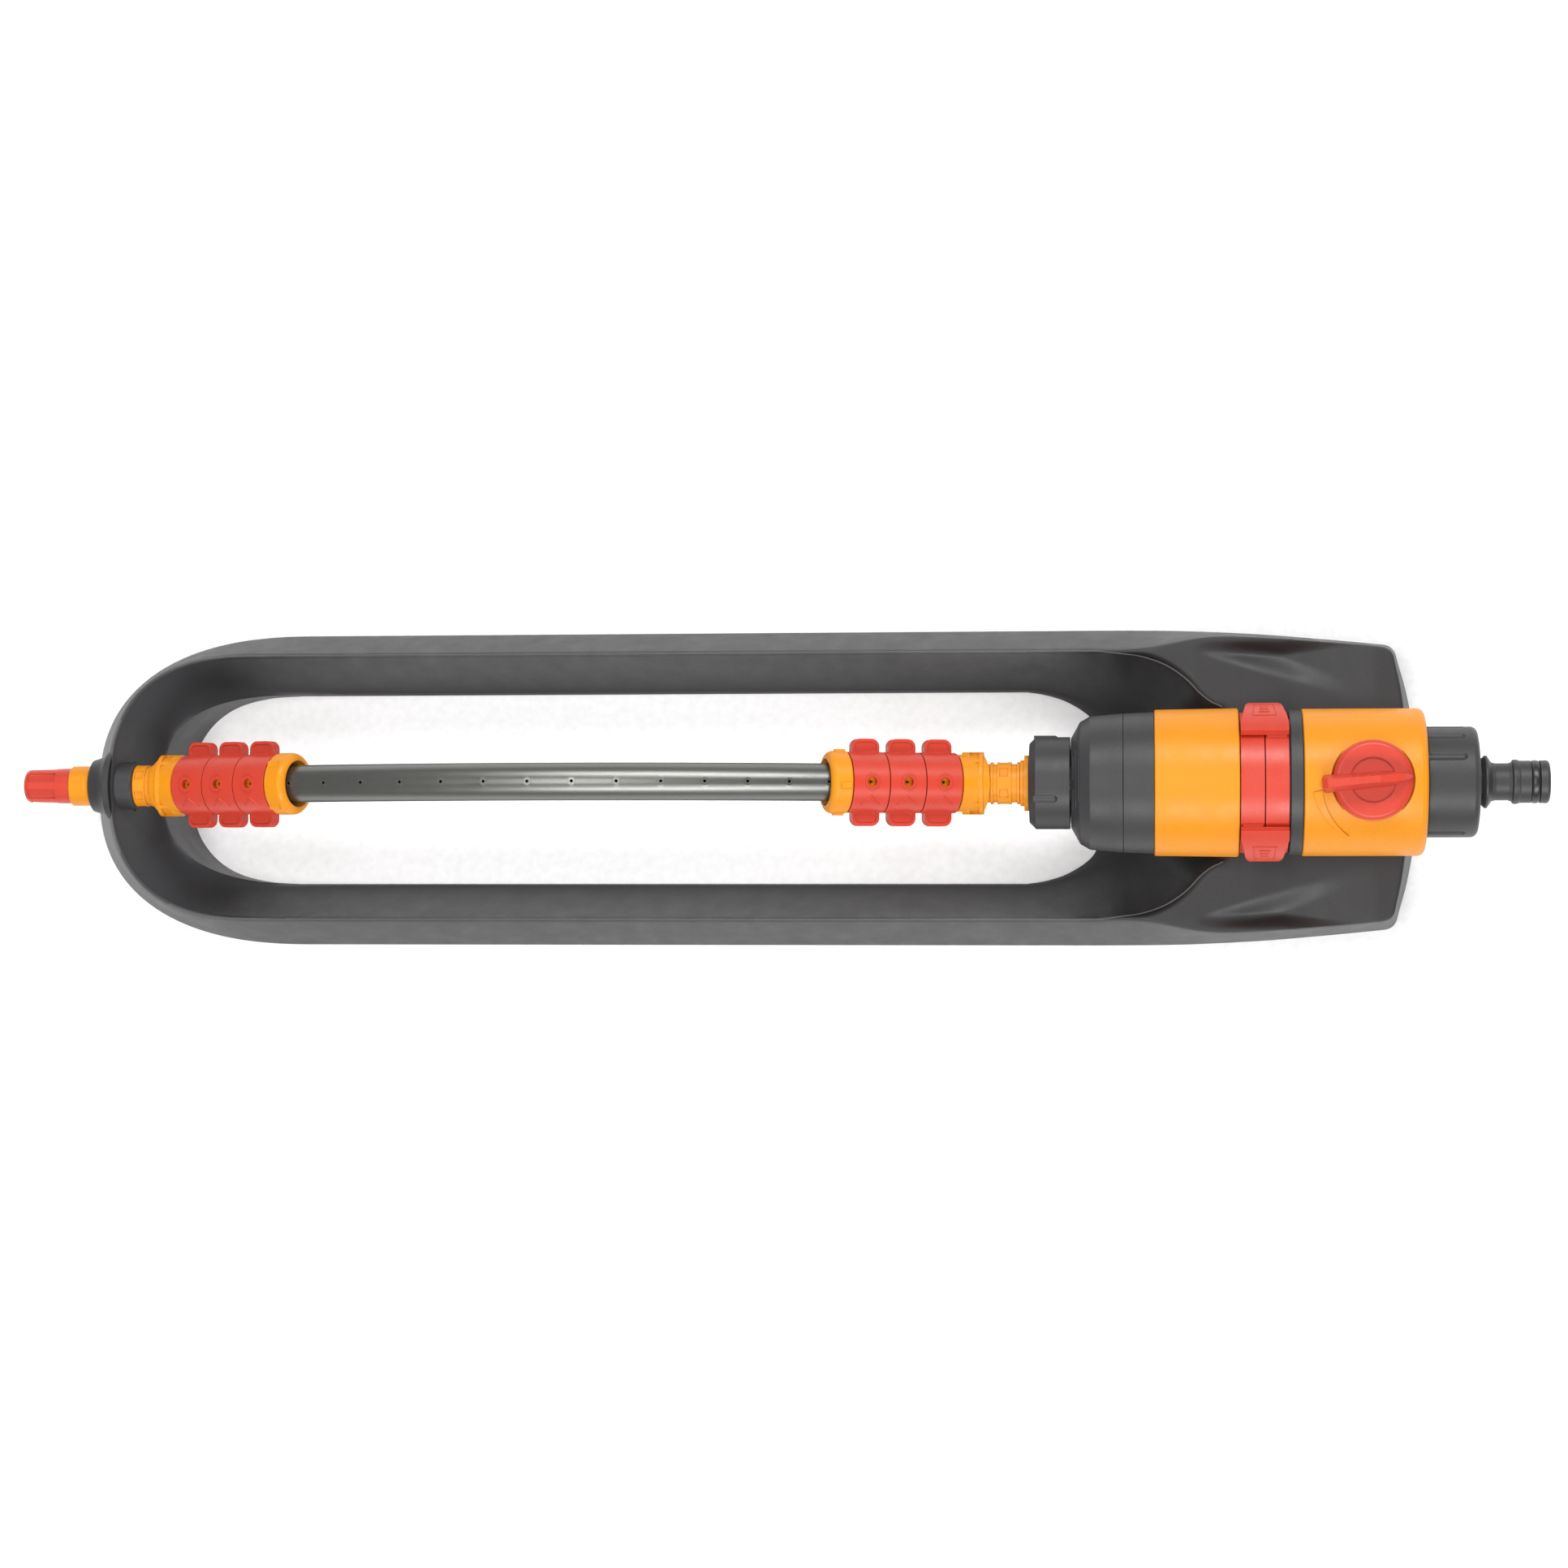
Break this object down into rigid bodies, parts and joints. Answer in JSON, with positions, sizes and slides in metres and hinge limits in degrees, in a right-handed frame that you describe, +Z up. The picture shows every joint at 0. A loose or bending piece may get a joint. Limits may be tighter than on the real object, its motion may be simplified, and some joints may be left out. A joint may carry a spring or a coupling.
{
  "type": "oscillating lawn sprinkler",
  "caption": "Oscillating lawn sprinkler with a sled base, an arched spray tube between shuttered jet blocks, and a water motor with range rings, a flow knob and a screw-on filter inlet.",
  "frame": {"origin": "on the ground plane, midway along the overall length and on the spray arm's axis plane", "axes": "+X towards the hose connector, +Z up, +Y to the left seen from the connector end looking along -X"},
  "size_m": [0.5755, 0.123, 0.1067],
  "materials": {
    "dark_plastic": "satin moulded polypropylene, dark grey",
    "yellow_plastic": "semi-gloss moulded plastic, yellow-orange",
    "red_plastic": "semi-gloss moulded plastic, coral red",
    "tube_metal": "dark grey satin coated aluminium tube",
    "black_rubber": "soft black rubber",
    "steel": "bright stainless steel",
    "white_plastic": "natural white engineering plastic"
  },
  "bodies": {
    "frame": {"sled_base": "dark_plastic", "base_screws": "steel", "front_bearing_bush": "white_plastic", "front_casing": "dark_plastic", "output_bush": "white_plastic", "shaft_seal": "black_rubber", "rear_casing": "dark_plastic", "motor_sleeve": "yellow_plastic", "spacer_ring": "dark_plastic", "flow_housing": "yellow_plastic", "front_gear_plate": "white_plastic", "middle_gear_plate": "white_plastic", "rear_gear_plate": "white_plastic", "gear_pins": "steel", "stator": "white_plastic"},
    "spray_arm": {"spray_tube": "tube_metal", "tube_jets": "black_rubber", "left_jet_carrier": "yellow_plastic", "right_jet_carrier": "yellow_plastic", "left_tube_collar": "yellow_plastic", "right_tube_collar": "yellow_plastic", "left_tube_seal": "black_rubber", "right_tube_seal": "black_rubber", "front_end_sleeve": "yellow_plastic", "output_nut": "dark_plastic", "nut_gasket": "black_rubber", "output_shaft": "white_plastic", "output_gear": "white_plastic"},
    "cleaning_tool": {"cleaning_tool_grip": "red_plastic", "cleaning_needle": "steel"},
    "left_range_ring": {"left_range_ring": "red_plastic"},
    "right_range_ring": {"right_range_ring": "red_plastic"},
    "flow_valve": {"flow_knob": "red_plastic", "spindle_o_ring": "black_rubber", "valve_barrel": "white_plastic"},
    "filter": {"filter_screen": "white_plastic", "filter_washer": "black_rubber"},
    "inlet_cap": {"filter_cap": "dark_plastic", "hose_connector": "dark_plastic", "connector_o_ring": "black_rubber"},
    "turbine": {"turbine_shaft": "steel", "turbine_pinion": "white_plastic", "turbine_rotor": "white_plastic"},
    "first_compound_gear": {"first_compound_gear": "white_plastic"},
    "second_compound_gear": {"second_compound_gear": "white_plastic"},
    "reverser": {"reverser_shaft": "steel", "trip_lever": "white_plastic", "flow_deflector": "white_plastic", "over_centre_spring": "steel"},
    "left_shutter_ring_1": {"left_shutter_ring_1": "red_plastic"},
    "left_shutter_ring_2": {"left_shutter_ring_2": "red_plastic"},
    "left_shutter_ring_3": {"left_shutter_ring_3": "red_plastic"},
    "right_shutter_ring_1": {"right_shutter_ring_1": "red_plastic"},
    "right_shutter_ring_2": {"right_shutter_ring_2": "red_plastic"},
    "right_shutter_ring_3": {"right_shutter_ring_3": "red_plastic"}
  },
  "joints": [
    {"name": "spray_arm_swing", "type": "hinge", "parent": "frame", "child": "spray_arm", "pos_m": [0, 0, 0.062], "axis": [1, 0, 0], "range_deg": [-45, 45]},
    {"name": "cleaning_tool_pull", "type": "slide", "parent": "spray_arm", "child": "cleaning_tool", "axis": [1, 0, 0], "range_m": [-0.045, 0]},
    {"name": "left_range_ring_turn", "type": "hinge", "parent": "frame", "child": "left_range_ring", "pos_m": [0.179, 0, 0.062], "axis": [1, 0, 0], "range_deg": [-35, 45]},
    {"name": "right_range_ring_turn", "type": "hinge", "parent": "frame", "child": "right_range_ring", "pos_m": [0.188, 0, 0.062], "axis": [1, 0, 0], "range_deg": [-45, 35]},
    {"name": "flow_knob_turn", "type": "hinge", "parent": "frame", "child": "flow_valve", "pos_m": [0.2219, 0, 0.087], "axis": [0, 0, 1], "range_deg": [0, 90]},
    {"name": "filter_draw", "type": "slide", "parent": "frame", "child": "filter", "axis": [1, 0, 0], "range_m": [0, 0.006]},
    {"name": "inlet_cap_turn", "type": "hinge", "parent": "filter", "child": "inlet_cap", "pos_m": [0.25, 0, 0.062], "axis": [1, 0, 0], "range_deg": [0, 721]},
    {"name": "first_compound_spin", "type": "hinge", "parent": "frame", "child": "first_compound_gear", "pos_m": [0.145, 0, 0.0485], "axis": [1, 0, 0], "range_deg": [-158, 158]},
    {"name": "second_compound_spin", "type": "hinge", "parent": "frame", "child": "second_compound_gear", "pos_m": [0.155, 0.00804, 0.05525], "axis": [1, 0, 0], "range_deg": [-395, 395]},
    {"name": "turbine_spin", "type": "hinge", "parent": "frame", "child": "turbine", "pos_m": [0.18, 0, 0.062], "axis": [1, 0, 0], "range_deg": [-990, 990]},
    {"name": "reverser_flip", "type": "hinge", "parent": "frame", "child": "reverser", "pos_m": [0.18, -0.00616, 0.07891], "axis": [1, 0, 0], "range_deg": [-12, 12]},
    {"name": "left_shutter_ring_1_turn", "type": "hinge", "parent": "spray_arm", "child": "left_shutter_ring_1", "pos_m": [-0.21726, 0, 0.06799], "axis": [0.9397, 0, 0.342], "range_deg": [-30, 30]},
    {"name": "left_shutter_ring_2_turn", "type": "hinge", "parent": "spray_arm", "child": "left_shutter_ring_2", "pos_m": [-0.2041, 0, 0.07277], "axis": [0.9397, 0, 0.342], "range_deg": [-30, 30]},
    {"name": "left_shutter_ring_3_turn", "type": "hinge", "parent": "spray_arm", "child": "left_shutter_ring_3", "pos_m": [-0.19094, 0, 0.07756], "axis": [0.9397, 0, 0.342], "range_deg": [-30, 30]},
    {"name": "right_shutter_ring_1_turn", "type": "hinge", "parent": "spray_arm", "child": "right_shutter_ring_1", "pos_m": [0.06226, 0, 0.06799], "axis": [-0.9397, 0, 0.342], "range_deg": [-30, 30]},
    {"name": "right_shutter_ring_2_turn", "type": "hinge", "parent": "spray_arm", "child": "right_shutter_ring_2", "pos_m": [0.0491, 0, 0.07277], "axis": [-0.9397, 0, 0.342], "range_deg": [-30, 30]},
    {"name": "right_shutter_ring_3_turn", "type": "hinge", "parent": "spray_arm", "child": "right_shutter_ring_3", "pos_m": [0.03594, 0, 0.07756], "axis": [-0.9397, 0, 0.342], "range_deg": [-30, 30]}
  ],
  "couplings": [
    {"joint": "first_compound_spin", "follows": "spray_arm_swing", "ratio": -3.5},
    {"joint": "second_compound_spin", "follows": "spray_arm_swing", "ratio": 8.75},
    {"joint": "turbine_spin", "follows": "spray_arm_swing", "ratio": -21.875},
    {"joint": "inlet_cap_turn", "follows": "filter_draw", "rad_per_m": 2094.4}
  ]
}
